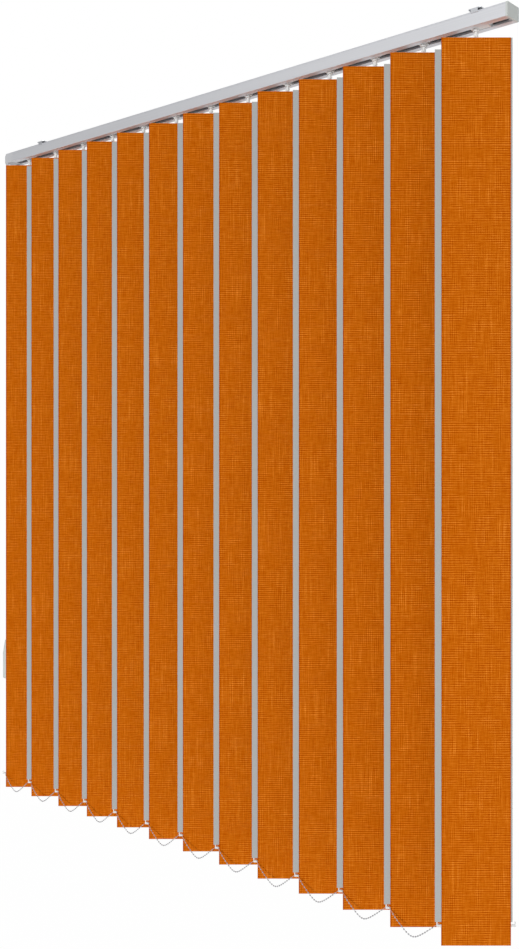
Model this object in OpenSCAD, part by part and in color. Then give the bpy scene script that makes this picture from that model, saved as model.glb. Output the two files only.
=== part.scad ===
// Vertical blind: cloth vanes hung from geared carriers in a ceiling-clipped rail.
// Millimetres. X runs along the rail, -Y faces the room, +Z is up.
// The ceiling plane is z = 0, and x = 0 lies midway between the two clip screws.

/* [Vanes] */
// distance from one vane stem to the next
vane_pitch = 112.5; // [100:0.5:125]
// width of the cloth
vane_w = 127; // [118:1:140]
// height of the cloth from fold to fold
vane_h = 1660; // [600:5:2400]
// thickness of the cloth
cloth_t = 0.5; // [0.3:0.05:0.8]
// angle of the vanes to the rail as modelled
vane_angle = 41.4; // [15:0.1:165]
// height of the top pocket
top_pocket_h = 26; // [20:1:40]
// height of the bottom pocket
bottom_pocket_h = 46; // [44:1:60]
// length of the welded lip that closes each pocket
weld_h = 4; // [3:0.5:6]
// how far the pale backing stands past the leading edge
backing_w = 14; // [0:1:20]
// how far it stands past the trailing edge
backing_trail = 3; // [1:0.5:5]

/* [Hanger and weight] */
// thickness of the hanger plate
hanger_t = 1.2; // [0.8:0.1:2]
// distance from the hanger's ends to the cloth's edges
hanger_inset = 3.5; // [2:0.5:8]
// width of the hanger's tongue, which stands out of the top fold
tongue_w = 9; // [8:0.5:12]
// material above the tongue's hole
tongue_rim = 1.8; // [1.4:0.1:2.5]
// thickness of the bottom weight
weight_t = 2.2; // [1.5:0.1:3]
// height of the bottom weight
weight_h = 38; // [30:1:39]
// distance from the weight's ends to the cloth's edges
weight_inset = 4.5; // [3:0.5:8]
// corner radius of the hanger and the weight
plate_round = 3; // [1:0.5:4]
// how far the chain hooks reach past the cloth
hook_reach = 9; // [7:0.5:12]
// thickness of the chain hooks
hook_t = 1.2; // [1:0.1:1.6]
// width of a hook's upright
hook_bar = 2; // [1.5:0.1:3]
// depth of the saddle behind a hook's upright
hook_depth = 5; // [3:0.5:6]

/* [Stem and pinion] */
// diameter of the stem
stem_d = 6; // [5:0.1:6.4]
// diameter of the peg that carries the hanger
peg_d = 3; // [2:0.1:3.4]
// height of the peg above the top fold
peg_rise = 4.5; // [4:0.1:6]
// length of stem between the carrier's neck and the tongue
stem_show = 2; // [1.5:0.5:6]
// number of pinion teeth
pinion_teeth = 9; // [9:1:9]
// pinion radius at the tooth tips
pinion_tip_r = 6.4; // [6.2:0.05:6.5]
// pinion radius at the tooth roots
pinion_root_r = 4.3; // [4:0.05:4.4]
// width of a tooth at its tip
tooth_tip_w = 0.8; // [0.6:0.05:0.9]
// width of a tooth at its root
tooth_root_w = 1.7; // [1.4:0.05:1.8]
// height of the pinion
pinion_h = 4.4; // [3:0.1:5]

/* [Worm and tilt rod] */
// axial distance from one worm turn to the next
worm_pitch = 3.77; // [3.7:0.01:3.85]
// distance between the stem's axis and the worm's
worm_offset = 11.3; // [11.2:0.05:11.6]
// radius of the worm's core and journals
worm_core_r = 4.5; // [4.3:0.05:4.6]
// radius at the thread's crest
worm_tip_r = 6.7; // [6.5:0.05:6.75]
// width of the thread's crest
thread_tip_w = 0.8; // [0.6:0.05:0.9]
// width of the thread's root
thread_root_w = 1.7; // [1.4:0.05:1.8]
// turns of thread
thread_turns = 2.4; // [1.6:0.1:2.6]
// radius of the worm's end collars
collar_r = 6.2; // [5.5:0.1:6.5]
// thickness of the worm's end collars
collar_t = 0.8; // [0.6:0.1:1]
// mean radius of the three-lobed tilt rod
rod_r = 2.7; // [2.5:0.05:2.8]
// height of the rod's lobes
rod_lobe = 0.5; // [0.3:0.05:0.6]
// radius of the rod's end journals
rod_journal_r = 2.1; // [1.6:0.05:2.1]
// length of the rod's end journals
rod_journal_l = 6; // [4:0.5:7]

/* [Carriers] */
// length of a carrier, the least stem distance when stacked
carrier_l = 20; // [19:0.5:22]
// extra length of the leading carrier
lead_extra = 20; // [10:1:30]
// thickness of the carrier's floor
carrier_floor_t = 2; // [1.6:0.1:2.4]
// height of the runners under the floor
runner_h = 2.6; // [2.4:0.1:4]
// width of a runner
runner_w = 7; // [4:0.5:8]
// rounding of the carrier's upright corners
carrier_round = 1.5; // [0.5:0.1:2]
// distance from the carrier's ends to the keel that runs in the rail's slot
keel_inset = 1.5; // [1:0.5:4]
// thickness of the walls that carry the worm
bearing_wall_t = 2.4; // [1.8:0.1:3]
// how far those walls rise past the worm's axis
bearing_lip_h = 2.5; // [2:0.1:3]
// material around the worm's journals
bearing_rim = 2; // [1.5:0.1:2.4]
// length of the ribs that brace the side wall
rib_l = 9; // [6:0.5:10]
// height of those ribs
rib_h = 8; // [4:0.5:9]
// outer radius of the stem's upper bush
bush_r = 4.4; // [4:0.1:4.6]
// outer radius of the neck in the rail's slot
neck_r = 6; // [5:0.1:6.4]
// how far the neck hangs below the rail
neck_drop = 4; // [2:0.5:6]
// gap between the worm and the carrier's floor
worm_floor_gap = 1.1; // [0.8:0.1:2]

/* [Rail] */
// depth of the rail from room to window
rail_w = 42; // [40:0.5:50]
// height of the rail
rail_h = 26; // [25.5:0.5:32]
// wall thickness
rail_t = 1.6; // [1.2:0.1:2]
// width of the slot in the underside
slot_w = 14; // [13.5:0.5:16]
// height of the ridges beside the slot
ridge_h = 1.8; // [1:0.1:2]
// thickness of those ridges
ridge_t = 1.2; // [0.8:0.1:1.6]
// outer corner radius
rail_corner_r = 1.5; // [1:0.1:2.5]
// distance from the last stem to the rail's right end
end_margin = 75; // [70:1:120]
// distance from the first stem to the control head's end
head_margin = 82; // [78:1:120]

/* [Ends] */
// length of the control head
head_l = 33; // [26:1:36]
// rounding of the control head's top end
head_round = 10; // [4:1:14]
// thickness of the end cap's plate
cap_t = 4; // [3:0.5:6]
// length of the plugs inside the rail
plug_l = 8; // [7.5:0.5:12]
// length of the cord bush under the head
outlet_l = 11; // [10.5:0.5:14]
// width of the cord bush
outlet_w = 7; // [5:0.5:9]
// how far the cord bush stands out below the head
outlet_drop = 2.5; // [1:0.5:5]
// distance from the head's end to the middle of the cord
cord_inset = 6; // [5.5:0.5:10]
// distance from the head's front to the cord
cord_setback = 4; // [3:0.5:8]

/* [Ceiling clips] */
// width of a clip
clip_w = 26; // [22:1:40]
// width of its two legs
clip_leg_w = 14; // [8:1:20]
// corner radius of the spring plate
clip_round = 3; // [1:0.5:5]
// thickness of the clip's spring plate
clip_t = 1.6; // [1:0.1:2]
// thickness of the clip's legs
clip_leg_t = 1.2; // [0.8:0.1:1.6]
// distance from ceiling to rail
clip_drop = 5; // [4:0.5:8]
// how far the legs lap over the rail
clip_lap = 3.6; // [3.2:0.2:7]
// height of the catch at a leg's end
catch_h = 1.2; // [0.8:0.1:1.6]
// depth of the catch in the rail's groove
catch_depth = 0.6; // [0.4:0.1:0.7]
// distance of the left clip from the rail's left end
clip_left_inset = 157; // [60:1:200]
// distance of the right clip from the rail's right end
clip_right_inset = 66; // [40:1:200]
// radius of the screw holes
screw_r = 2.5; // [2:0.1:3]

/* [Cord and chain] */
// radius of the draw cord
cord_r = 1; // [0.8:0.1:1.2]
// radius of the cord weight
cord_weight_r = 12; // [9:0.5:12.5]
// radius of the cord weight's top
cord_weight_top_r = 6.5; // [6:0.25:7]
// length of the cord weight
cord_weight_l = 102; // [80:1:120]
// length of the cord weight's tapered part
cord_weight_taper = 34; // [20:1:50]
// height of the cord weight's top
cord_weight_z = -1319; // [-1330:1:-1319]
// radius of a chain bead
bead_r = 1.5; // [1:0.1:1.6]
// radius of the chain between beads
link_r = 0.5; // [0.4:0.05:0.6]
// beads from one hook to the next
beads_per_span = 22; // [12:1:24]
// sag of the chain between hooks
chain_sag = 40; // [20:1:42]

/* [Clearances] */
// radial clearance of a running fit
running_gap = 0.05; // [0.02:0.01:0.1]
// gap of sliding faces
slide_gap = 0.2; // [0.15:0.05:0.4]
// clearance around the tilt rod
rod_gap = 0.15; // [0.1:0.05:0.2]
// gap around loose pieces
loose_gap = 0.3; // [0.2:0.05:0.5]

/* [Hidden] */
$fn = 48;

vane_count = 13;
last = vane_count - 1;
eps = 0.01;

cap_grey = [0.69, 0.70, 0.69];
rail_grey = [0.83, 0.83, 0.85];
plastic_white = [0.86, 0.86, 0.84];
gear_white = [0.92, 0.92, 0.90];
metal = [0.62, 0.63, 0.65];
cloth_orange = [0.77, 0.38, 0.05];
cord_white = [0.88, 0.88, 0.86];

rail_l = last * vane_pitch + head_margin + end_margin;
rail_x = -(clip_left_inset + rail_l - clip_right_inset) / 2;
rail_end_x = rail_x + rail_l;
clip_x = [rail_x + clip_left_inset, rail_end_x - clip_right_inset];
rail_top = -clip_drop;
rail_bottom = rail_top - rail_h;
lip_top = rail_bottom + rail_t;
inner_w = rail_w - 2 * rail_t;
tube_x = rail_x + head_l;
tube_end_x = rail_end_x - cap_t;

neck_bottom = rail_bottom - neck_drop;
tongue_h = peg_rise + peg_d / 2 + slide_gap + tongue_rim;
vane_top = neck_bottom - stem_show - tongue_h;
vane_bottom = vane_top - vane_h;
peg_z = vane_top + peg_rise;

floor_bottom = lip_top + slide_gap + runner_h;
floor_top = floor_bottom + carrier_floor_t;
worm_z = floor_top + worm_floor_gap + worm_tip_r;
pinion_z = worm_z - pinion_h / 2;
bush_top = pinion_z - slide_gap / 2;
carrier_half_w = inner_w / 2 - 3 * slide_gap;
wall_in = carrier_l / 2 - bearing_wall_t;

sheet_front = -hanger_t / 2 - cloth_t;
sheet_back = -hanger_t / 2;
hook_floor = vane_bottom + cloth_t + weight_h;
hook_u = vane_w / 2 + (hook_reach - hook_bar) / 2;
hook_v = sheet_back + weight_t / 2;
chain_top = hook_floor + bead_r + hook_t;
chain_x = vane_x(0) - hook_u * cos(vane_angle) - hook_v * sin(vane_angle);
chain_y = hook_v * cos(vane_angle) - hook_u * sin(vane_angle);

cord_x = rail_x + cord_inset;
cord_y = -rail_w / 2 + cord_setback;
cord_half = 3.5;
cord_top = rail_bottom + 12;

function vane_x(i) = rail_x + head_margin + i * vane_pitch;

// sweeps a ring along points that lie in one plane with the normal side
function unit(v) = v / norm(v);
function heading(p, i) = unit(p[min(i + 1, len(p) - 1)] - p[max(i - 1, 0)]);
function ring(p, i, r, side, n) = [
    for (k = [0 : n - 1]) p[i] + r * (cos(360 * k / n) * side + sin(360 * k / n) * cross(side, heading(p, i)))
];
function tube_faces(m, n) = concat(
    [[for (k = [0 : n - 1]) k]],
    [for (i = [0 : m - 2]) for (k = [0 : n - 1]) [i * n + k, (i + 1) * n + k, (i + 1) * n + (k + 1) % n]],
    [for (i = [0 : m - 2]) for (k = [0 : n - 1]) [i * n + k, (i + 1) * n + (k + 1) % n, i * n + (k + 1) % n]],
    [[for (k = [n - 1 : -1 : 0]) (m - 1) * n + k]]
);

module tube(points, radii, side, n) {
    rings = [for (i = [0 : len(points) - 1]) ring(points, i, radii[i], side, n)];
    polyhedron([for (r = rings) for (q = r) q], tube_faces(len(points), n));
}

module along_x(l) {
    rotate([90, 0, 90]) linear_extrude(l) children();
}

module along_y(l) {
    rotate([90, 0, 0]) translate([0, 0, -l]) linear_extrude(l) children();
}

module round_box(w, h, r) {
    translate([r, 0]) square([w - 2 * r, h]);
    translate([0, r]) square([w, h - 2 * r]);
    for (x = [r, w - r]) {
        for (y = [r, h - r]) translate([x, y]) circle(r);
    }
}

module rail_outline() {
    translate([-rail_w / 2, rail_bottom]) round_box(rail_w, rail_h, rail_corner_r);
}

module groove_outline(extra) {
    for (s = [-1, 1]) {
        translate([s * rail_w / 2 - catch_depth - extra, rail_top - clip_lap - extra])
            square([2 * (catch_depth + extra), catch_h + 2 * extra]);
    }
}

module rail_section() {
    difference() {
        rail_outline();
        difference() {
            translate([-inner_w / 2, lip_top]) square([inner_w, rail_h - 2 * rail_t]);
            translate([-slot_w / 2 - ridge_t, lip_top - 1]) square([slot_w + 2 * ridge_t, ridge_h + 1]);
        }
        translate([-slot_w / 2, rail_bottom - 1]) square([slot_w, rail_t + ridge_h + 2]);
        groove_outline(0.1);
    }
}

module headrail() {
    color(rail_grey) translate([tube_x, 0, 0]) along_x(tube_end_x - tube_x) rail_section();
}

module plug_section() {
    g = slide_gap / 2;
    difference() {
        translate([-inner_w / 2 + g, lip_top + ridge_h + g]) square([inner_w - 2 * g, rail_h - 2 * rail_t - ridge_h - 2 * g]);
        translate([-inner_w / 2 + 4, lip_top + ridge_h - 1]) square([inner_w / 2, rail_h - 2 * rail_t - ridge_h - 3]);
    }
}

module head_side() {
    difference() {
        translate([rail_x, rail_bottom - 1]) square([head_l, rail_h + 2]);
        translate([rail_x - 1, rail_top - head_round]) square([head_round + 1, head_round + 2]);
    }
    intersection() {
        translate([rail_x + head_round, rail_top - head_round]) circle(head_round);
        translate([rail_x, rail_top - head_round]) square(head_round + eps);
    }
}

module control_head() {
    bore_l = plug_l - 1;
    color(cap_grey) difference() {
        union() {
            intersection() {
                translate([rail_x, 0, 0]) along_x(head_l) rail_outline();
                translate([0, -rail_w, 0]) along_y(2 * rail_w) head_side();
            }
            translate([tube_x - eps, 0, 0]) along_x(plug_l + eps) plug_section();
            translate([cord_x - outlet_l / 2, cord_y - outlet_w / 2, rail_bottom - outlet_drop])
                linear_extrude(outlet_drop + rail_corner_r) round_box(outlet_l, outlet_w, 2);
        }
        translate([tube_x + plug_l - bore_l, worm_offset, worm_z])
            rotate([0, 90, 0]) cylinder(h = bore_l + 1, r = rod_journal_r + running_gap);
        for (s = [-1, 1]) {
            translate([cord_x + s * cord_half, cord_y, rail_bottom - outlet_drop - 1])
                cylinder(h = cord_top - rail_bottom + outlet_drop + 1, r = cord_r + loose_gap);
        }
        translate([rail_x + head_l / 2 - 8, 6, rail_bottom - 1]) cube([16, 6, 8]);
    }
}

module end_cap() {
    bore_l = plug_l - 1;
    color(cap_grey) difference() {
        union() {
            translate([tube_end_x, 0, 0]) along_x(cap_t) rail_outline();
            translate([tube_end_x - plug_l, 0, 0]) along_x(plug_l + eps) plug_section();
        }
        translate([tube_end_x - plug_l - 1, worm_offset, worm_z])
            rotate([0, 90, 0]) cylinder(h = bore_l + 1, r = rod_journal_r + running_gap);
    }
}

module rod_outline(extra) {
    polygon([for (a = [0 : 10 : 350]) (rod_r + extra + rod_lobe * cos(3 * a)) * [cos(a), sin(a)]]);
}

module tilt_rod() {
    start = tube_x + plug_l + slide_gap;
    l = tube_end_x - tube_x - 2 * plug_l - 2 * slide_gap;
    color(metal) translate([0, worm_offset, worm_z]) {
        translate([start, 0, 0]) along_x(l) rod_outline(0);
        translate([start - rod_journal_l, 0, 0])
            rotate([0, 90, 0]) cylinder(h = l + 2 * rod_journal_l, r = rod_journal_r);
    }
}

// end view of the bent legs, each with a catch for the rail's groove
module clip_section() {
    difference() {
        translate([-rail_w / 2 - clip_leg_t, rail_top - clip_lap])
            round_box(rail_w + 2 * clip_leg_t, clip_drop + clip_lap, clip_leg_t);
        translate([-rail_w / 2, rail_top - clip_lap - 1])
            square([rail_w, clip_drop + clip_lap + 1 - clip_t]);
    }
    for (s = [0, 1]) {
        mirror([s, 0]) translate([rail_w / 2 - catch_depth, rail_top - clip_lap])
            square([catch_depth + eps, catch_h]);
    }
}

module ceiling_clips() {
    plate_w = rail_w + 2 * clip_leg_t;
    color(metal) for (x = clip_x) {
        translate([x, 0, 0]) difference() {
            union() {
                translate([-clip_w / 2, -plate_w / 2, -clip_t])
                    linear_extrude(clip_t) round_box(clip_w, plate_w, clip_round);
                translate([-clip_leg_w / 2, 0, 0]) along_x(clip_leg_w) clip_section();
            }
            translate([0, 0, -clip_t - 1]) cylinder(h = clip_t + 2, r = screw_r);
        }
    }
}

// end view of a wall that carries the worm: an arch, open above, into which its journal snaps
module bearing_outline() {
    rim_r = worm_core_r + bearing_rim;
    difference() {
        union() {
            translate([worm_offset, worm_z]) circle(rim_r);
            translate([worm_offset - rim_r, floor_top - eps]) square([2 * rim_r, worm_z - floor_top + eps]);
        }
        translate([worm_offset - rim_r - 1, worm_z + bearing_lip_h]) square([2 * rim_r + 2, rim_r]);
    }
}

module rib_outline() {
    translate([-carrier_half_w, floor_top - eps])
        polygon([[0, 0], [rib_l, 0], [bearing_wall_t, rib_h], [0, rib_h]]);
}

module carrier_tray(l) {
    translate([-carrier_l / 2, -carrier_half_w, floor_bottom]) {
        cube([l, 2 * carrier_half_w, carrier_floor_t]);
        cube([l, bearing_wall_t, worm_z + bearing_lip_h - floor_bottom]);
    }
    for (x = [-carrier_l / 2, wall_in]) {
        translate([x, 0, 0]) along_x(bearing_wall_t) {
            bearing_outline();
            rib_outline();
        }
    }
}

module carrier_body(extra) {
    l = carrier_l + extra;
    keel_w = slot_w - 6 * slide_gap;
    keel_z = rail_bottom + 2 * slide_gap;
    intersection() {
        carrier_tray(l);
        translate([-carrier_l / 2, -carrier_half_w, rail_bottom])
            linear_extrude(rail_h) round_box(l, 2 * carrier_half_w, carrier_round);
    }
    for (s = [-1, 1]) {
        translate([1 - carrier_l / 2, s * (carrier_half_w - runner_w / 2) - runner_w / 2, lip_top + slide_gap])
            linear_extrude(runner_h + eps) round_box(l - 2, runner_w, runner_w / 2 - 0.5);
    }
    translate([keel_inset - carrier_l / 2, -keel_w / 2, keel_z])
        linear_extrude(floor_bottom - keel_z + eps) round_box(l - 2 * keel_inset, keel_w, 2);
    translate([0, 0, floor_bottom + eps]) cylinder(h = bush_top - floor_bottom - eps, r = bush_r);
    translate([0, 0, neck_bottom]) cylinder(h = floor_bottom - neck_bottom + eps, r = neck_r);
    if (extra > 0) {
        translate([carrier_l / 2 + 2, 0, 0]) along_x(extra - 4)
            translate([-6, floor_bottom + eps]) round_box(12, carrier_floor_t + 9, carrier_floor_t);
    }
}

module carrier(i) {
    extra = i == last ? lead_extra : 0;
    color(plastic_white) translate([vane_x(i), 0, 0]) difference() {
        carrier_body(extra);
        translate([0, 0, neck_bottom - 1]) cylinder(h = 40, r = stem_d / 2 + running_gap);
        translate([-carrier_l / 2 - 1, worm_offset, worm_z])
            rotate([0, 90, 0]) cylinder(h = carrier_l + 2, r = worm_core_r + running_gap);
        if (extra > 0) {
            for (s = [-1, 1]) {
                translate([carrier_l / 2, s * 3, floor_top + 4.5])
                    rotate([0, 90, 0]) cylinder(h = extra, r = cord_r + loose_gap);
            }
        }
    }
}

module worm_thread() {
    per_turn = 12;
    rings = ceil(thread_turns * per_turn);
    first = 180 - rings * 180 / per_turn;
    base_r = worm_core_r - 0.4;
    section = [
        [base_r, thread_root_w / 2],
        [worm_tip_r, thread_tip_w / 2],
        [worm_tip_r, -thread_tip_w / 2],
        [base_r, -thread_root_w / 2]
    ];
    points = [
        for (k = [0 : rings])
            let (a = first + k * 360 / per_turn)
                for (q = section) [worm_pitch * (a - 180) / 360 + q[1], q[0] * cos(a), q[0] * sin(a)]
    ];
    polyhedron(points, tube_faces(rings + 1, 4));
}

module worm(i) {
    color(gear_white) translate([vane_x(i), worm_offset, worm_z]) difference() {
        union() {
            worm_thread();
            translate([-carrier_l / 2, 0, 0]) rotate([0, 90, 0]) cylinder(h = carrier_l, r = worm_core_r);
            for (x = [-wall_in + slide_gap, wall_in - slide_gap - collar_t]) {
                translate([x, 0, 0]) rotate([0, 90, 0]) cylinder(h = collar_t, r = collar_r);
            }
        }
        translate([-carrier_l / 2 - 1, 0, 0]) along_x(carrier_l + 2) rod_outline(rod_gap);
    }
}

module pinion_outline() {
    circle(pinion_root_r);
    for (k = [0 : pinion_teeth - 1]) {
        rotate(90 + 360 * (k + 0.5) / pinion_teeth) polygon([
            [pinion_root_r - 0.6, -tooth_root_w / 2],
            [pinion_tip_r, -tooth_tip_w / 2],
            [pinion_tip_r, tooth_tip_w / 2],
            [pinion_root_r - 0.6, tooth_root_w / 2]
        ]);
    }
}

module stem() {
    fork_bottom = vane_top + loose_gap;
    fork_gap = hanger_t + 2 * slide_gap;
    translate([0, 0, pinion_z]) linear_extrude(pinion_h) rotate(-vane_angle) pinion_outline();
    difference() {
        translate([0, 0, fork_bottom]) cylinder(h = pinion_z + pinion_h + 1 - fork_bottom, r = stem_d / 2);
        translate([-stem_d, -fork_gap / 2, fork_bottom - 1])
            cube([2 * stem_d, fork_gap, tongue_h + 1]);
    }
    intersection() {
        translate([0, -stem_d / 2, peg_z]) rotate([-90, 0, 0]) cylinder(h = stem_d / 2 + fork_gap / 2 - slide_gap / 2, r = peg_d / 2);
        translate([0, 0, fork_bottom]) cylinder(h = tongue_h, r = stem_d / 2);
    }
}

module peg_hole() {
    translate([0, -5, peg_z]) rotate([-90, 0, 0]) cylinder(h = 10, r = peg_d / 2 + slide_gap);
}

module hanger() {
    top = vane_top - cloth_t;
    h = top_pocket_h - cloth_t - weld_h;
    difference() {
        translate([0, -hanger_t / 2, 0]) along_y(hanger_t) {
            translate([-vane_w / 2 + hanger_inset, top - h]) round_box(vane_w - 2 * hanger_inset, h, plate_round);
            translate([-tongue_w / 2, top - h / 2]) round_box(tongue_w, h / 2 + cloth_t + tongue_h, 2);
        }
        peg_hole();
    }
}

module weight_outline() {
    half = vane_w / 2 - weight_inset;
    translate([-half, vane_bottom + cloth_t]) round_box(2 * half, weight_h, plate_round);
}

module hook_outline() {
    half = vane_w / 2 - weight_inset;
    reach = vane_w / 2 + hook_reach;
    for (s = [0, 1]) {
        mirror([s, 0]) {
            translate([half - 6, hook_floor - 4]) square([reach - half + 6 - hook_bar / 2, 4]);
            translate([reach - hook_bar, hook_floor - 4]) round_box(hook_bar, 4 + hook_depth, 0.4 * hook_bar);
        }
    }
}

module bottom_weight() {
    translate([0, sheet_back, 0]) {
        along_y(weight_t) weight_outline();
        translate([0, (weight_t - hook_t) / 2, 0]) along_y(hook_t) hook_outline();
    }
}

module vane_fittings(i) {
    color(plastic_white) translate([vane_x(i), 0, 0]) rotate([0, 0, vane_angle]) {
        stem();
        hanger();
        bottom_weight();
    }
}

// side view of a pocket at z = 0, with its fold below and its welded lip above
module pocket_outline(depth, h) {
    difference() {
        polygon([
            [sheet_front, 0],
            [sheet_back + depth + cloth_t, 0],
            [sheet_back + depth + cloth_t, h - weld_h],
            [sheet_back, h],
            [sheet_front, h]
        ]);
        polygon([
            [sheet_back, cloth_t],
            [sheet_back + depth, cloth_t],
            [sheet_back + depth, h - weld_h],
            [sheet_back, h - weld_h]
        ]);
    }
}

module vane_section() {
    translate([0, vane_bottom]) pocket_outline(weight_t, bottom_pocket_h);
    translate([0, vane_top]) mirror([0, 1]) pocket_outline(hanger_t, top_pocket_h);
    translate([sheet_front, vane_bottom + bottom_pocket_h - 1])
        square([cloth_t, vane_h - bottom_pocket_h - top_pocket_h + 2]);
}

module backing_edge(w) {
    bottom = chain_top + bead_r + 2 * loose_gap;
    translate([0, sheet_back - cloth_t / 2, bottom])
        cube([w, cloth_t / 2, vane_top - bottom]);
}

module vane(i) {
    color(cloth_orange) translate([vane_x(i), 0, 0]) rotate([0, 0, vane_angle]) {
        difference() {
            translate([-vane_w / 2, 0, 0]) along_x(vane_w) vane_section();
            translate([-tongue_w / 2 - loose_gap, -hanger_t / 2 - slide_gap / 2, vane_top - 2 * cloth_t])
                cube([tongue_w + 2 * loose_gap, hanger_t + slide_gap, 3 * cloth_t]);
        }
        translate([vane_w / 2 - 1, 0, 0]) backing_edge(backing_trail + 1);
        if (i > 0 && backing_w > 0) {
            translate([-vane_w / 2 - backing_w, 0, 0]) backing_edge(backing_w + 1);
        }
    }
}

module draw_cord() {
    deep = -1390;
    left = cord_x - cord_half;
    right = cord_x + cord_half;
    route = [
        [left, cord_y, cord_top],
        [left, cord_y, -300],
        [left, cord_y, -700],
        [left, cord_y, -1100],
        [left, cord_y, deep],
        for (a = [30 : 30 : 150]) [cord_x - cord_half * cos(a), cord_y, deep - cord_half * sin(a)],
        [right, cord_y, deep],
        [right, cord_y, -1100],
        [right, cord_y, -700],
        [right, cord_y, -300],
        [right, cord_y, cord_top]
    ];
    color(cord_white) tube(route, [for (p = route) cord_r], [0, 1, 0], 8);
}

module cord_weight() {
    l = cord_weight_l;
    r = cord_weight_r;
    color(cap_grey) translate([cord_x, cord_y, cord_weight_z - l]) rotate_extrude() polygon([
        [0, 0],
        [r - 1.5, 0],
        [r - 0.4, 0.5],
        [r, 1.6],
        [r, l - cord_weight_taper],
        [r - 0.4, l - cord_weight_taper + 4],
        [cord_weight_top_r + 0.6, l - 2],
        [cord_weight_top_r, l],
        [0, l]
    ]);
}

module front_chain() {
    half_steps = 2 * beads_per_span;
    total = last * half_steps;
    route = [
        for (k = [0 : total])
            let (t = (k % half_steps) / half_steps)
                [chain_x + k * vane_pitch / half_steps, chain_y, chain_top - chain_sag * (1 - pow(abs(2 * t - 1), 2.2))]
    ];
    radii = [for (k = [0 : total]) k % 2 == 0 || abs((k + 2) % half_steps - 2) < 2 ? link_r : bead_r];
    color(metal) tube(route, radii, [0, 1, 0], 6);
}

headrail();
control_head();
end_cap();
tilt_rod();
ceiling_clips();
draw_cord();
cord_weight();
front_chain();
carrier(0);  // carrier_01
carrier(1);  // carrier_02
carrier(2);  // carrier_03
carrier(3);  // carrier_04
carrier(4);  // carrier_05
carrier(5);  // carrier_06
carrier(6);  // carrier_07
carrier(7);  // carrier_08
carrier(8);  // carrier_09
carrier(9);  // carrier_10
carrier(10);  // carrier_11
carrier(11);  // carrier_12
carrier(12);  // carrier_13
worm(0);  // worm_01
worm(1);  // worm_02
worm(2);  // worm_03
worm(3);  // worm_04
worm(4);  // worm_05
worm(5);  // worm_06
worm(6);  // worm_07
worm(7);  // worm_08
worm(8);  // worm_09
worm(9);  // worm_10
worm(10);  // worm_11
worm(11);  // worm_12
worm(12);  // worm_13
vane_fittings(0);  // vane_fittings_01
vane_fittings(1);  // vane_fittings_02
vane_fittings(2);  // vane_fittings_03
vane_fittings(3);  // vane_fittings_04
vane_fittings(4);  // vane_fittings_05
vane_fittings(5);  // vane_fittings_06
vane_fittings(6);  // vane_fittings_07
vane_fittings(7);  // vane_fittings_08
vane_fittings(8);  // vane_fittings_09
vane_fittings(9);  // vane_fittings_10
vane_fittings(10);  // vane_fittings_11
vane_fittings(11);  // vane_fittings_12
vane_fittings(12);  // vane_fittings_13
vane(0);  // vane_01
vane(1);  // vane_02
vane(2);  // vane_03
vane(3);  // vane_04
vane(4);  // vane_05
vane(5);  // vane_06
vane(6);  // vane_07
vane(7);  // vane_08
vane(8);  // vane_09
vane(9);  // vane_10
vane(10);  // vane_11
vane(11);  // vane_12
vane(12);  // vane_13
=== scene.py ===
import math

import bpy
from mathutils import Matrix, Vector


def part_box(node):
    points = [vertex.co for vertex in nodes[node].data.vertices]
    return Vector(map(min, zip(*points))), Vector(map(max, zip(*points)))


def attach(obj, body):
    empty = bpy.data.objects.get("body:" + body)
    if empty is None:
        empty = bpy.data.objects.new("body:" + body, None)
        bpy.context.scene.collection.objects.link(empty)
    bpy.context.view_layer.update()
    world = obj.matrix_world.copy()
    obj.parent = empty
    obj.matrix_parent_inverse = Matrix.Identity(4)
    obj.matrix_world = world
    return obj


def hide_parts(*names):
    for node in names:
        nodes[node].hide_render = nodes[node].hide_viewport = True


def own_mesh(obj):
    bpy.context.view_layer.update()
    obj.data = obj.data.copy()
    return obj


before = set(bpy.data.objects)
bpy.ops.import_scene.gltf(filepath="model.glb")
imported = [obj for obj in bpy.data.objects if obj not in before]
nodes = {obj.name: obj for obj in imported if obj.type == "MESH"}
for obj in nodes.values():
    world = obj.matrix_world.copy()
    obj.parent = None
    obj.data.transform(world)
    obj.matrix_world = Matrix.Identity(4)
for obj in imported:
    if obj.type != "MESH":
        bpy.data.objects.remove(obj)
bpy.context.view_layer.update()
scene = bpy.context.scene
scene.view_settings.view_transform = "Standard"

MM = 0.001

# Sizes repeated from the part's source, in millimetres.
VANES = 13
PITCH = 112.5
FIRST_STEM = -717.0
VANE_WIDTH = 127.0
VANE_TOP = -45.0
VANE_BOTTOM = -1705.0
VANE_ANGLE = math.radians(41.4)
CLOTH = 0.5
HANGER_THICK = 1.2
WEIGHT_THICK = 2.2
TOP_POCKET = 26.0
BOTTOM_POCKET = 46.0
WELD = 4.0
BACKING_TRAIL = 3.0
BACKING_FOOT = -1661.4
TONGUE_WIDTH = 9.6
CORD_X = -793.0
CORD_Y = -17.0
CORD_HALF = 3.5
CORD_TOP = -19.0
CORD_TURN = -1390.0
CORD_RADIUS = 1.0
CHAIN_SAG = 40.0
CHAIN_BEADS = 22
BEAD_RADIUS = 1.5
LINK_RADIUS = 0.45

# Sizes that only the scene has, in millimetres.
# Width of the film's lead past each vane's leading edge: a pale grey strip that is painted shadow, standing
# where a vane's shadow falls on the vane before it.
PAINTED_SHADOW_LEAD = 12.0
BACKING_THICK = 0.2
CHAIN_BOW = 5.0


def names(prefix):
    """The numbered names of one kind of piece, from the control end."""
    return [f"{prefix}_{i + 1:02d}" for i in range(VANES)]


def leave_all():
    """Ends edit mode and selects nothing."""
    if bpy.context.mode != "OBJECT":
        bpy.ops.object.mode_set(mode="OBJECT")
    bpy.ops.object.select_all(action="DESELECT")


def pick(piece):
    """Selects one piece alone."""
    leave_all()
    piece.select_set(True)
    bpy.context.view_layer.objects.active = piece


def apply_all(piece):
    """Applies a piece's modifiers in order."""
    pick(piece)
    for m in list(piece.modifiers):
        bpy.ops.object.modifier_apply(modifier=m.name)


# Materials

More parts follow.
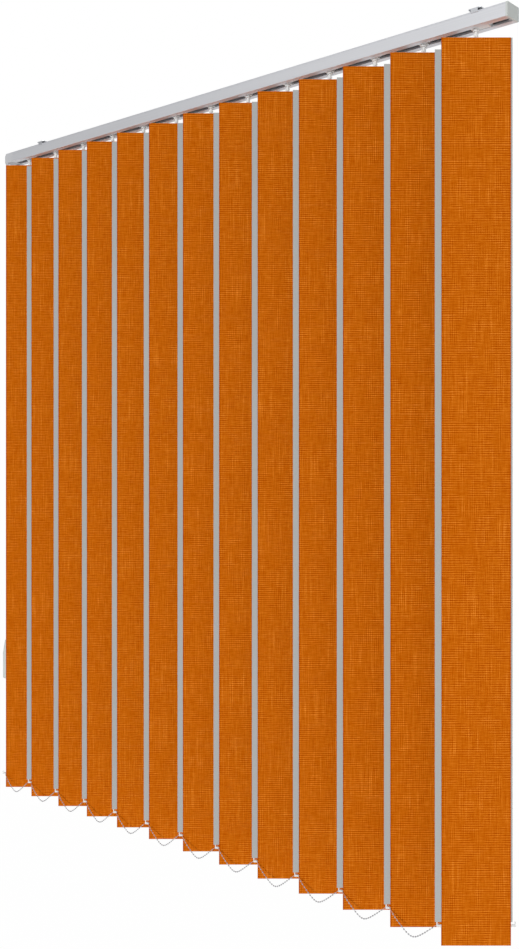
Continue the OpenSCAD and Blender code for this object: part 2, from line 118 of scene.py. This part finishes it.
def srgb(r, g, b):
    """A colour given as 0 to 255 screen values, as the linear colour a shader takes."""
    out = []
    for c in (r, g, b):
        c = c / 255
        out.append(c / 12.92 if c <= 0.04045 else ((c + 0.055) / 1.055) ** 2.4)
    return (*out, 1.0)


class Finish:
    """A node material under construction."""

    def __init__(self, name, roughness, specular=0.3, metallic=0.0):
        self.material = bpy.data.materials.new(name)
        self.material.use_nodes = True
        self.tree = self.material.node_tree
        self.shader = self.tree.nodes["Principled BSDF"]
        self.shader.inputs["Roughness"].default_value = roughness
        self.shader.inputs["Specular IOR Level"].default_value = specular
        self.shader.inputs["Metallic"].default_value = metallic
        self.coords = self.tree.nodes.new("ShaderNodeTexCoord")

    def link(self, a, b):
        self.tree.links.new(a, b)

    def noise(self, space, scale, size=1.0, detail=2.0, rough=0.5):
        """Noise on Object or UV coordinates, stretched by scale."""
        mapping = self.tree.nodes.new("ShaderNodeMapping")
        mapping.inputs["Scale"].default_value = scale
        self.link(self.coords.outputs[space], mapping.inputs["Vector"])
        tex = self.tree.nodes.new("ShaderNodeTexNoise")
        tex.inputs["Scale"].default_value = size
        tex.inputs["Detail"].default_value = detail
        tex.inputs["Roughness"].default_value = rough
        self.link(mapping.outputs["Vector"], tex.inputs["Vector"])
        return tex.outputs["Fac"]

    def bands(self, space, scale, direction):
        """Regular soft bands along one axis."""
        mapping = self.tree.nodes.new("ShaderNodeMapping")
        mapping.inputs["Scale"].default_value = scale
        self.link(self.coords.outputs[space], mapping.inputs["Vector"])
        tex = self.tree.nodes.new("ShaderNodeTexWave")
        tex.wave_type = "BANDS"
        tex.bands_direction = direction
        tex.inputs["Scale"].default_value = 1.0
        self.link(mapping.outputs["Vector"], tex.inputs["Vector"])
        return tex.outputs["Fac"]

    def axis(self, space, name):
        """One coordinate by itself."""
        node = self.tree.nodes.new("ShaderNodeSeparateXYZ")
        self.link(self.coords.outputs[space], node.inputs["Vector"])
        return node.outputs[name]

    def math(self, op, a, b=0.0):
        """One arithmetic step on sockets or numbers."""
        node = self.tree.nodes.new("ShaderNodeMath")
        node.operation = op
        for socket, value in zip(node.inputs, (a, b)):
            if isinstance(value, (int, float)):
                socket.default_value = value
            else:
                self.link(value, socket)
        return node.outputs[0]

    def total(self, first, *others):
        """The sum of several patterns."""
        for other in others:
            first = self.math("ADD", first, other)
        return first

    def between(self, value, low, high):
        """A smooth step from nothing at low to all at high."""
        node = self.tree.nodes.new("ShaderNodeMapRange")
        node.interpolation_type = "SMOOTHSTEP"
        node.inputs["From Min"].default_value = low
        node.inputs["From Max"].default_value = high
        self.link(value, node.inputs["Value"])
        return node.outputs["Result"]

    def around(self, value, amount):
        """A pattern centred on zero and scaled."""
        return self.math("MULTIPLY", self.math("SUBTRACT", value, 0.5), amount)

    def ramp(self, value, stops):
        """A colour for each value, from stops of place and colour."""
        node = self.tree.nodes.new("ShaderNodeValToRGB")
        elements = node.color_ramp.elements
        while len(elements) < len(stops):
            elements.new(0.5)
        for element, (place, colour) in zip(elements, stops):
            element.position = place
            element.color = colour
        self.link(value, node.inputs["Fac"])
        return node.outputs["Color"]

    def colour(self, socket):
        self.link(socket, self.shader.inputs["Base Color"])

    def bump(self, height, distance, strength=1.0):
        node = self.tree.nodes.new("ShaderNodeBump")
        node.inputs["Strength"].default_value = strength
        node.inputs["Distance"].default_value = distance
        self.link(height, node.inputs["Height"])
        self.link(node.outputs["Normal"], self.shader.inputs["Normal"])

    def roughness(self, value, low, high):
        node = self.tree.nodes.new("ShaderNodeMapRange")
        node.inputs["To Min"].default_value = low
        node.inputs["To Max"].default_value = high
        self.link(value, node.inputs["Value"])
        self.link(node.outputs["Result"], self.shader.inputs["Roughness"])


# The cloth's UV map counts the roll in units of two metres, and patterns on it are counted per metre.
ROLL = 2.0
# Each vane is cut from the next stretch of the roll, with a little waste between them, in millimetres.
ROLL_STEP = VANE_WIDTH + 4.0
# A wave texture's band is a twentieth of its unit times two pi.
BAND = 20.0 / (2 * math.pi)
WEFT_RIBS = 235.0 / BAND
WARP_RIBS = 250.0 / BAND

# How much each pattern of the weave moves the tone, from 0 for the darkest thread to 1 for the lightest.
TONE_MIDDLE = 0.46
RIB_SHARE = 0.56
CROSS_SHARE = 0.34
WEFT_SHARE = 0.48
WARP_SHARE = 0.46
GRAIN_SHARE = 0.25
LIGHT_WARP = 0.16
LIGHT_WEFT = 0.1
EDGE_SHARE = 0.3
# Width of the sealed, darker edge of the cloth, in millimetres.
SEALED_EDGE = 3.5


def on_cloth(f, across, along, detail):
    """Noise on the cloth's own map, with so many spots in a metre across and along the roll."""
    return f.noise("UV", (across * ROLL, along * ROLL, 1), detail=detail)


def sealed_edges(f):
    """One at a vane's cut edges and zero inside them."""
    on_roll = f.math("MULTIPLY", f.axis("UV", "X"), ROLL / (ROLL_STEP * MM))
    half = VANE_WIDTH / 2
    from_middle = f.math("ABSOLUTE", f.math("SUBTRACT", f.math("FRACT", on_roll), half / ROLL_STEP))
    return f.between(from_middle, (half - SEALED_EDGE) / ROLL_STEP, half / ROLL_STEP)


def woven_cloth():
    """Coarse slub weave: weft ribs and warp threads that show in patches, with a few long light threads."""
    f = Finish("woven_cloth", 1.0, specular=0.0)
    rib = f.bands("UV", (1, WEFT_RIBS * ROLL, 1), "Y")
    cross = f.bands("UV", (WARP_RIBS * ROLL, 1, 1), "X")
    weft = on_cloth(f, 60, 420, 1.0)
    warp = on_cloth(f, 420, 30, 1.0)
    rib_patch = on_cloth(f, 30, 44, 1.5)
    cross_patch = on_cloth(f, 60, 22, 1.5)
    warp_slub = on_cloth(f, 360, 8, 0.0)
    weft_slub = on_cloth(f, 12, 330, 0.0)
    grain = on_cloth(f, 480, 480, 1.0)
    tone = f.total(
        f.math("MULTIPLY", f.around(rib, RIB_SHARE), f.between(rib_patch, 0.3, 0.62)),
        f.math("MULTIPLY", f.around(cross, CROSS_SHARE), f.between(cross_patch, 0.45, 0.68)),
        f.around(weft, WEFT_SHARE),
        f.around(warp, WARP_SHARE),
        f.around(grain, GRAIN_SHARE),
        f.math("MULTIPLY", f.between(warp_slub, 0.65, 0.72), LIGHT_WARP),
        f.math("MULTIPLY", f.between(weft_slub, 0.66, 0.73), LIGHT_WEFT),
        f.math("MULTIPLY", sealed_edges(f), -EDGE_SHARE),
        TONE_MIDDLE,
    )
    f.colour(f.ramp(tone, [
        (0.0, srgb(160, 64, 0)),
        (0.25, srgb(178, 80, 1)),
        (0.5, srgb(195, 99, 11)),
        (0.75, srgb(213, 117, 27)),
        (1.0, srgb(233, 138, 48)),
    ]))
    f.bump(tone, 0.0003, 0.4)
    return f.material


def backing_and_painted_shadow():
    """Pale acrylic backing of the cloth, with a faint weave showing through; its grey is also painted
    shadow, in the lead that stands past a vane's leading edge.
    """
    f = Finish("backing_and_painted_shadow", 0.8, specular=0.2)
    weave = on_cloth(f, 500, 300, 1.0)
    drift = on_cloth(f, 20, 3, 2.0)
    tone = f.total(f.around(weave, 0.5), f.around(drift, 0.6), 0.5)
    # The film's grey is the tone of the shadow between the vanes: painted shadow, where its lead shows over
    # the vane before.
    f.colour(f.ramp(tone, [(0.0, srgb(162, 163, 161)), (1.0, srgb(180, 180, 178))]))
    f.bump(weave, 0.0002, 0.3)
    return f.material


def moulded(name, low, high, roughness=0.5, grain=1800):
    """Moulded plastic with a fine spark-eroded grain and faint flow marks."""
    f = Finish(name, roughness, specular=0.4)
    flow = f.noise("Object", (30, 30, 30), detail=3.0)
    fine = f.noise("Object", (grain, grain, grain), detail=1.0)
    f.colour(f.ramp(flow, [(0.25, low), (0.75, high)]))
    f.roughness(fine, roughness - 0.07, roughness + 0.07)
    f.bump(fine, 0.00008, 0.35)
    return f.material


# Spots in a metre along each axis, for fine lines along the rail or across it.
LINES_ALONG = (2, 900, 900)
LINES_ACROSS = (700, 4, 700)


def drawn_metal(name, low, high, roughness, metallic, lines=LINES_ALONG):
    """Drawn metal or silver paint, with fine lines in one direction."""
    f = Finish(name, roughness, specular=0.5, metallic=metallic)
    fine = f.noise("Object", lines, detail=2.0)
    f.colour(f.ramp(fine, [(0.25, low), (0.75, high)]))
    f.roughness(fine, roughness - 0.06, roughness + 0.08)
    f.bump(fine, 0.00005, 0.4)
    return f.material


def braided_cord():
    """Pale braid with short crossing threads."""
    f = Finish("braided_cord", 0.85, specular=0.2)
    braid = f.noise("Object", (900, 900, 450), detail=1.0)
    f.colour(f.ramp(braid, [(0.3, srgb(196, 197, 194)), (0.7, srgb(226, 226, 222))]))
    f.bump(braid, 0.0003, 0.5)
    return f.material


CLOTH_FINISH = woven_cloth()
# The backing film's pale grey is also painted shadow between the vanes.
BACKING_AND_SHADOW_FINISH = backing_and_painted_shadow()
RAIL_FINISH = drawn_metal("painted_rail", srgb(212, 213, 217), srgb(219, 220, 224), 0.42, 0.7)
CAP_FINISH = moulded("grey_moulding", srgb(195, 199, 196), srgb(204, 208, 205), 0.55)
# The control head's grey is darker than the rail's: painted shade, for the dimmer light at the rail's far
# end.
HEAD_SHADED_FINISH = moulded("head_moulding_painted_shade", srgb(184, 185, 188), srgb(191, 192, 195), 0.55)
CARRIER_FINISH = moulded("white_moulding", srgb(214, 215, 214), srgb(226, 227, 226), 0.45)
GEAR_FINISH = moulded("gear_moulding", srgb(226, 226, 222), srgb(236, 236, 232), 0.4)
ROD_FINISH = drawn_metal("tilt_rod_metal", srgb(176, 178, 181), srgb(200, 202, 205), 0.32, 1.0)
CLIP_FINISH = drawn_metal(
    "spring_steel", srgb(182, 184, 188), srgb(214, 216, 220), 0.42, 1.0, lines=LINES_ACROSS)
BEAD_FINISH = moulded("bead_plastic", srgb(158, 160, 164), srgb(176, 178, 181), 0.35)
CORD_FINISH = braided_cord()


def dress(node, material):
    """Gives a solid of the part its finish."""
    slots = nodes[node].data.materials
    slots.clear()
    slots.append(material)


for node, material in [
    ("headrail", RAIL_FINISH),
    ("control_head", HEAD_SHADED_FINISH),
    ("end_cap", CAP_FINISH),
    ("cord_weight", CAP_FINISH),
    ("tilt_rod", ROD_FINISH),
    ("ceiling_clips", CLIP_FINISH),
]:
    dress(node, material)
for node in names("carrier") + names("vane_fittings"):
    dress(node, CARRIER_FINISH)
for node in names("worm"):
    dress(node, GEAR_FINISH)


# Vanes: each is one strip of cloth folded into a pocket at both ends

# Depths of the cloth's middle line in a vane: the long sheet, the flaps and a lip laid on the sheet.
SHEET = -HANGER_THICK / 2 - CLOTH / 2
FLAP_TOP = HANGER_THICK / 2 + CLOTH / 2
FLAP_BOTTOM = -HANGER_THICK / 2 + WEIGHT_THICK + CLOTH / 2
LAID_ON = SHEET + CLOTH

FOLD_STEPS = 6
FOLD_ROWS = 66
# Rows of the fold line at which the top fold is slit for the tongue.
SLIT_ROWS = range(6, 10)

# The hang of the cloth, in millimetres: cup, ripple, the ripple's reach and the ease next to the pockets.
CUP = 0.5
RIPPLE = 0.35
RIPPLE_DOWN = 190.0
RIPPLE_ACROSS = 60.0
HANG_EASE = 160.0


def arc(centre, radius, start, end, steps):
    """Points on a part of a circle."""
    return [
        (centre[0] + radius * math.cos(start + (end - start) * k / steps),
         centre[1] + radius * math.sin(start + (end - start) * k / steps))
        for k in range(steps + 1)
    ]


def fold_line():
    """The cloth's middle line from one welded lip to the other, as (depth, height) in a vane's own frame."""
    lip_top = VANE_TOP - TOP_POCKET
    lip_bottom = VANE_BOTTOM + BOTTOM_POCKET
    r_bottom = (FLAP_BOTTOM - SHEET) / 2
    middle = (FLAP_BOTTOM + SHEET) / 2
    line = [(LAID_ON, lip_top), (LAID_ON + 0.2, lip_top + 1.0)]
    line += [(FLAP_TOP - 0.1, lip_top + WELD), (FLAP_TOP, lip_top + WELD + 2)]
    line += [(FLAP_TOP, VANE_TOP - 10)]
    line += arc((0, VANE_TOP - FLAP_TOP - CLOTH / 2), FLAP_TOP, 0, math.pi, FOLD_STEPS)
    first, last = VANE_TOP - 4, VANE_BOTTOM + 4
    line += [(SHEET, first + (last - first) * k / FOLD_ROWS) for k in range(FOLD_ROWS + 1)]
    line += arc((middle, VANE_BOTTOM + r_bottom + CLOTH / 2), r_bottom, math.pi, 2 * math.pi, FOLD_STEPS)
    line += [(FLAP_BOTTOM, VANE_BOTTOM + 18), (FLAP_BOTTOM, lip_bottom - WELD - 2)]
    line += [(FLAP_BOTTOM - 0.2, lip_bottom - WELD)]
    line += [(LAID_ON + 0.2, lip_bottom - 1.0), (LAID_ON, lip_bottom)]
    return line


def backing_line():
    """The film's middle line on the back of the sheet, between the pockets' lips."""
    top = VANE_TOP - TOP_POCKET - 0.5
    bottom = VANE_BOTTOM + BOTTOM_POCKET + 0.5
    depth = SHEET + CLOTH / 2 + BACKING_THICK / 2
    rows = 48
    return [(depth, top + (bottom - top) * k / rows) for k in range(rows + 1)]


def hang(across, height, width_share):
    """How far the flat cloth strays from its plane between the pockets: a slight cup and a slow ripple."""
    room = min(height - VANE_BOTTOM - BOTTOM_POCKET, VANE_TOP - TOP_POCKET - height)
    if room <= 0:
        return 0.0
    ease = min(1.0, room / HANG_EASE)
    cup = CUP * (1 - width_share * width_share)
    ripple = RIPPLE * math.sin(height / RIPPLE_DOWN) * math.cos(across / RIPPLE_ACROSS)
    return -(cup + ripple) * ease


def vane_place(i):
    """Where a vane's own frame stands in the part."""
    turn = Matrix.Rotation(VANE_ANGLE, 4, "Z")
    return Matrix.Translation(((FIRST_STEM + PITCH * i) * MM, 0, 0)) @ turn


def lay_out(piece, line, stations, place, roll_at, ends):
    """Shapes a fresh grid into a strip that runs along line, and gives it the roll's UV map.

    Where the strip stands past the cloth's edges, ends gives the heights that it runs to.
    """
    along = [0.0]
    for a, b in zip(line, line[1:]):
        along.append(along[-1] + math.dist(a, b))
    half = VANE_WIDTH / 2
    count = len(stations)
    mesh = piece.data
    for n, vertex in enumerate(mesh.vertices):
        row, column = divmod(n, count)
        across = stations[column]
        depth, height = line[row]
        if depth < 0:
            depth += hang(across, height, across / half)
        if ends and abs(across) >= half:
            if row == 0:
                height = ends["shadow_lead"] if across < 0 else ends["trail"]
            elif row == len(line) - 1:
                height = ends["foot"]
        vertex.co = place @ Vector((across * MM, depth * MM, height * MM))
    uv = mesh.uv_layers.active.data
    for loop in mesh.loops:
        row, column = divmod(loop.vertex_index, count)
        uv[loop.index].uv = ((roll_at + half + stations[column]) * MM / ROLL, along[row] * MM / ROLL)


def cut_slit(piece, columns, rows):
    """Opens the top fold around the hanger's tongue."""
    middle = columns // 2
    for face in piece.data.polygons:
        row, column = divmod(face.index, columns)
        face.select = column == middle and row in rows
    bpy.ops.object.mode_set(mode="EDIT")
    bpy.ops.mesh.select_mode(type="FACE")
    bpy.ops.mesh.delete(type="FACE")
    bpy.ops.object.mode_set(mode="OBJECT")


def strip(name, line, stations, place, roll_at, thick, material, ends=None, slit=()):
    """A strip of cloth or film with its thickness, shaped along line."""
    columns = len(stations) - 1
    rows = len(line) - 1
    leave_all()
    bpy.ops.mesh.primitive_grid_add(x_subdivisions=columns, y_subdivisions=rows, size=1, calc_uvs=True)
    piece = bpy.context.object
    piece.name = name
    piece.data.name = name
    lay_out(piece, line, stations, place, roll_at, ends)
    bpy.ops.object.mode_set(mode="EDIT")
    bpy.ops.mesh.select_all(action="SELECT")
    bpy.ops.mesh.faces_shade_smooth()
    bpy.ops.mesh.select_all(action="DESELECT")
    bpy.ops.object.mode_set(mode="OBJECT")
    if slit:
        cut_slit(piece, columns, slit)
    solid = piece.modifiers.new("cloth", "SOLIDIFY")
    solid.thickness = thick * MM
    solid.offset = 0
    solid.use_even_offset = True
    apply_all(piece)
    bpy.ops.object.shade_smooth_by_angle(angle=math.radians(50))
    piece.data.materials.append(material)
    return piece


FOLD = fold_line()
BACKING = backing_line()

# Columns of the strips. The film has one just inside each edge of the cloth, where its ends step up or down.
HALF = VANE_WIDTH / 2
INSIDE = HALF - 0.3
TONGUE = TONGUE_WIDTH / 2
CLOTH_STATIONS = [-HALF, -48, -32, -16, -TONGUE, TONGUE, 16, 32, 48, HALF]
FILM_STATIONS = [-HALF, -INSIDE, -48, -32, -16, 0, 16, 32, 48, INSIDE, HALF, HALF + BACKING_TRAIL]
# The lead's top and foot set how far the painted shadow strip runs up and down.
FILM_ENDS = {"shadow_lead": VANE_TOP - TOP_POCKET + WELD, "trail": VANE_TOP - CLOTH, "foot": BACKING_FOOT}


def make_vane(i):
    """One vane's cloth with its backing film, whose lead before the leading edge is a painted shadow strip.
    The first has no film before its leading edge.
    """
    number = f"{i + 1:02d}"
    place = vane_place(i)
    roll_at = ROLL_STEP * i
    cloth = strip(f"cloth_{number}", FOLD, CLOTH_STATIONS, place, roll_at,
                  CLOTH, CLOTH_FINISH, slit=SLIT_ROWS)
    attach(cloth, f"vane_{number}")
    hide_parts(f"vane_{number}")
    # The film's lead before the leading edge is painted shadow: a pale grey strip over the vane before.
    shadow_lead = [-HALF - PAINTED_SHADOW_LEAD] if i else []
    film = strip(f"backing_{number}", BACKING, shadow_lead + FILM_STATIONS, place, roll_at,
                 BACKING_THICK, BACKING_AND_SHADOW_FINISH, ends=FILM_ENDS)
    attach(film, f"vane_{number}")


for i in range(VANES):
    make_vane(i)


def round_line(name, route, radius, resolution):
    """A round line through points given in metres."""
    line = bpy.data.curves.new(name, "CURVE")
    line.dimensions = "3D"
    line.bevel_depth = radius * MM
    line.bevel_resolution = resolution
    line.use_fill_caps = True
    spline = line.splines.new("POLY")
    spline.points.add(len(route) - 1)
    for point, place in zip(spline.points, route):
        point.co = (*place, 1.0)
    return line


# Draw cord: one loop from the head, round the weight and back

TURN_STEPS = 8


def cord_route():
    left, right = CORD_X - CORD_HALF, CORD_X + CORD_HALF
    down = [CORD_TOP, -120, -300, -500, -700, -900, -1100, -1250, CORD_TURN]
    route = [(left, CORD_Y, z) for z in down]
    for k in range(1, TURN_STEPS):
        a = math.pi * k / TURN_STEPS
        route.append((CORD_X - CORD_HALF * math.cos(a), CORD_Y, CORD_TURN - CORD_HALF * math.sin(a)))
    route += [(right, CORD_Y, z) for z in reversed(down)]
    return [tuple(c * MM for c in p) for p in route]


def make_cord():
    route = cord_route()
    line = round_line("draw_cord_line", route, CORD_RADIUS, 3)
    piece = bpy.data.objects.new("cord_loop", line)
    scene.collection.objects.link(piece)
    line.materials.append(CORD_FINISH)
    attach(piece, "rail")
    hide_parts("draw_cord")


make_cord()


# Bottom chain: beads on a thin cord, draped from hook to hook

# Points of the chain from one hook to the next. Every second one has a bead.
CHAIN_STEPS = 2 * CHAIN_BEADS
# Points on each side of a hook that stay bare.
BARE = 4
# Roundness of a loop's foot between its straight sides, and how soon a loop bows out beside a hook.
LOOP_ROUND = 0.25
BOW_POWER = 6


def chain_line():
    """The chain's points in millimetres. Its loops bow to the room, so they pass in front of the cloth."""
    low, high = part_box("front_chain")
    start = low.x / MM + LINK_RADIUS
    y = (low.y + high.y) / 2 / MM
    top = high.z / MM - 0.5
    points = []
    for k in range((VANES - 1) * CHAIN_STEPS + 1):
        t = (k % CHAIN_STEPS) / CHAIN_STEPS
        rise = (math.hypot(2 * t - 1, LOOP_ROUND) - LOOP_ROUND) / (math.hypot(1, LOOP_ROUND) - LOOP_ROUND)
        bow = CHAIN_BOW * (1 - abs(2 * t - 1) ** BOW_POWER)
        points.append((start + k * PITCH / CHAIN_STEPS, y - bow, top - CHAIN_SAG * (1 - rise)))
    return points


def make_thread(points):
    """The thin cord of the chain, as a mesh."""
    leave_all()
    line = round_line("chain_line", [tuple(c * MM for c in p) for p in points], LINK_RADIUS, 1)
    thread = bpy.data.objects.new("chain_link", line)
    scene.collection.objects.link(thread)
    pick(thread)
    bpy.ops.object.convert(target="MESH")
    return bpy.context.object


def make_beads(points):
    """A bead on every second point, apart from those beside the hooks."""
    leave_all()
    bpy.ops.mesh.primitive_uv_sphere_add(segments=8, ring_count=6, radius=BEAD_RADIUS * MM)
    bead = bpy.context.object
    bpy.ops.object.shade_smooth()
    seed = bead.data.copy()
    bpy.data.objects.remove(bead)
    beads = []
    for k, place in enumerate(points):
        near_hook = abs((k + BARE) % CHAIN_STEPS - BARE) < BARE
        if k % 2 == 0 or near_hook:
            continue
        copy = bpy.data.objects.new("bead", seed.copy())
        copy.data.transform(Matrix.Translation([c * MM for c in place]))
        scene.collection.objects.link(copy)
        beads.append(copy)
    return beads


def make_chain():
    points = chain_line()
    thread = make_thread(points)
    beads = make_beads(points)
    leave_all()
    for bead in beads:
        bead.select_set(True)
    thread.select_set(True)
    bpy.context.view_layer.objects.active = thread
    bpy.ops.object.join()
    chain = bpy.context.object
    chain.name = "bead_chain"
    chain.data.name = "bead_chain"
    chain.data.materials.clear()
    chain.data.materials.append(BEAD_FINISH)
    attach(chain, "front_chain")
    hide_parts("front_chain")
    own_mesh(chain)


make_chain()


# Stage, light and camera, in metres

FLOOR_SIZE = 16
FLOOR_HEIGHT = -2.4
# Share of plain white that the camera sees of the floor, and the floor's own light.
FLOOR_WHITE = 0.96
FLOOR_LIGHT = 0.5
SURROUND = 0.32
# Reflections see the surround darken to the left, from one sideways direction to another, by so much.
SHADE_FROM = -0.45
SHADE_TO = -0.8
SHADE_DEPTH = 0.75
KEY_FROM = (1.15, -3.0, 0.45)
KEY_STRENGTH = 1.7
KEY_SPREAD = math.radians(9)
CAMERA_AT = (1.623, -1.710, -0.7853)
CAMERA_LENS = 40.213
CAMERA_SHIFT = (-0.0044, -0.03374)


def paper(name, whiteness, lit):
    """White paper, white to the camera apart from a soft shadow, and lit from its own lamps."""
    material = bpy.data.materials.new(name)
    material.use_nodes = True
    tree = material.node_tree
    tree.nodes.clear()
    out = tree.nodes.new("ShaderNodeOutputMaterial")
    matt = tree.nodes.new("ShaderNodeBsdfDiffuse")
    matt.inputs["Color"].default_value = (0.9, 0.9, 0.9, 1)
    lamps = tree.nodes.new("ShaderNodeEmission")
    lamps.inputs["Strength"].default_value = lit
    lit_paper = tree.nodes.new("ShaderNodeAddShader")
    glow = tree.nodes.new("ShaderNodeEmission")
    path = tree.nodes.new("ShaderNodeLightPath")
    share = tree.nodes.new("ShaderNodeMath")
    share.operation = "MULTIPLY"
    share.inputs[1].default_value = whiteness
    mix = tree.nodes.new("ShaderNodeMixShader")
    tree.links.new(path.outputs["Is Camera Ray"], share.inputs[0])
    tree.links.new(share.outputs[0], mix.inputs["Fac"])
    tree.links.new(matt.outputs[0], lit_paper.inputs[0])
    tree.links.new(lamps.outputs[0], lit_paper.inputs[1])
    tree.links.new(lit_paper.outputs[0], mix.inputs[1])
    tree.links.new(glow.outputs[0], mix.inputs[2])
    tree.links.new(mix.outputs[0], out.inputs["Surface"])
    return material


def make_floor():
    leave_all()
    bpy.ops.mesh.primitive_plane_add(size=FLOOR_SIZE, location=(0, 0, FLOOR_HEIGHT))
    floor = bpy.context.object
    floor.name = "floor"
    floor.data.materials.append(paper("floor_paper", FLOOR_WHITE, FLOOR_LIGHT))


def background(tree, strength):
    node = tree.nodes.new("ShaderNodeBackground")
    node.inputs["Color"].default_value = (1, 1, 1, 1)
    node.inputs["Strength"].default_value = strength
    return node


def step(tree, operation, a, b):
    """One arithmetic step in the surround's shader."""
    node = tree.nodes.new("ShaderNodeMath")
    node.operation = operation
    for socket, value in zip(node.inputs, (a, b)):
        if isinstance(value, float):
            socket.default_value = value
        else:
            tree.links.new(value, socket)
    return node.outputs[0]


def make_world():
    """A soft surround, plain white to the camera, and in reflections white that darkens to the left."""
    world = bpy.data.worlds.new("studio")
    scene.world = world
    world.use_nodes = True
    tree = world.node_tree
    tree.nodes.clear()
    out = tree.nodes.new("ShaderNodeOutputWorld")
    soft = background(tree, SURROUND)
    white = background(tree, 1.0)
    rays = tree.nodes.new("ShaderNodeLightPath").outputs
    aim = tree.nodes.new("ShaderNodeTexCoord")
    parts = tree.nodes.new("ShaderNodeSeparateXYZ")
    tree.links.new(aim.outputs["Generated"], parts.inputs["Vector"])
    shade = tree.nodes.new("ShaderNodeMapRange")
    shade.inputs["From Min"].default_value = SHADE_FROM
    shade.inputs["From Max"].default_value = SHADE_TO
    shade.inputs["To Min"].default_value = 0.0
    shade.inputs["To Max"].default_value = SHADE_DEPTH
    tree.links.new(parts.outputs["X"], shade.inputs["Value"])
    mirrored = step(tree, "MULTIPLY", rays["Is Glossy Ray"], shade.outputs["Result"])
    tree.links.new(step(tree, "SUBTRACT", 1.0, mirrored), white.inputs["Strength"])
    seen = step(tree, "MAXIMUM", rays["Is Camera Ray"], rays["Is Glossy Ray"])
    seen = step(tree, "MAXIMUM", seen, rays["Is Transmission Ray"])
    mix = tree.nodes.new("ShaderNodeMixShader")
    tree.links.new(seen, mix.inputs["Fac"])
    tree.links.new(soft.outputs[0], mix.inputs[1])
    tree.links.new(white.outputs[0], mix.inputs[2])
    tree.links.new(mix.outputs[0], out.inputs["Surface"])


def make_key():
    """A wide, even key light from the camera's side."""
    light = bpy.data.lights.new("key", "SUN")
    light.energy = KEY_STRENGTH
    light.angle = KEY_SPREAD
    lamp = bpy.data.objects.new("key", light)
    scene.collection.objects.link(lamp)
    lamp.location = KEY_FROM
    lamp.rotation_euler = (-Vector(KEY_FROM)).to_track_quat("-Z", "Y").to_euler()


def make_camera():
    """The photograph's view: level, and square to the vanes."""
    data = bpy.data.cameras.new("camera")
    data.sensor_width = 36.0
    data.lens = CAMERA_LENS
    data.shift_x, data.shift_y = CAMERA_SHIFT
    camera = bpy.data.objects.new("camera", data)
    scene.collection.objects.link(camera)
    camera.location = CAMERA_AT
    camera.rotation_euler = (math.pi / 2, 0, VANE_ANGLE)
    scene.camera = camera


make_floor()
make_world()
make_key()
make_camera()

leave_all()
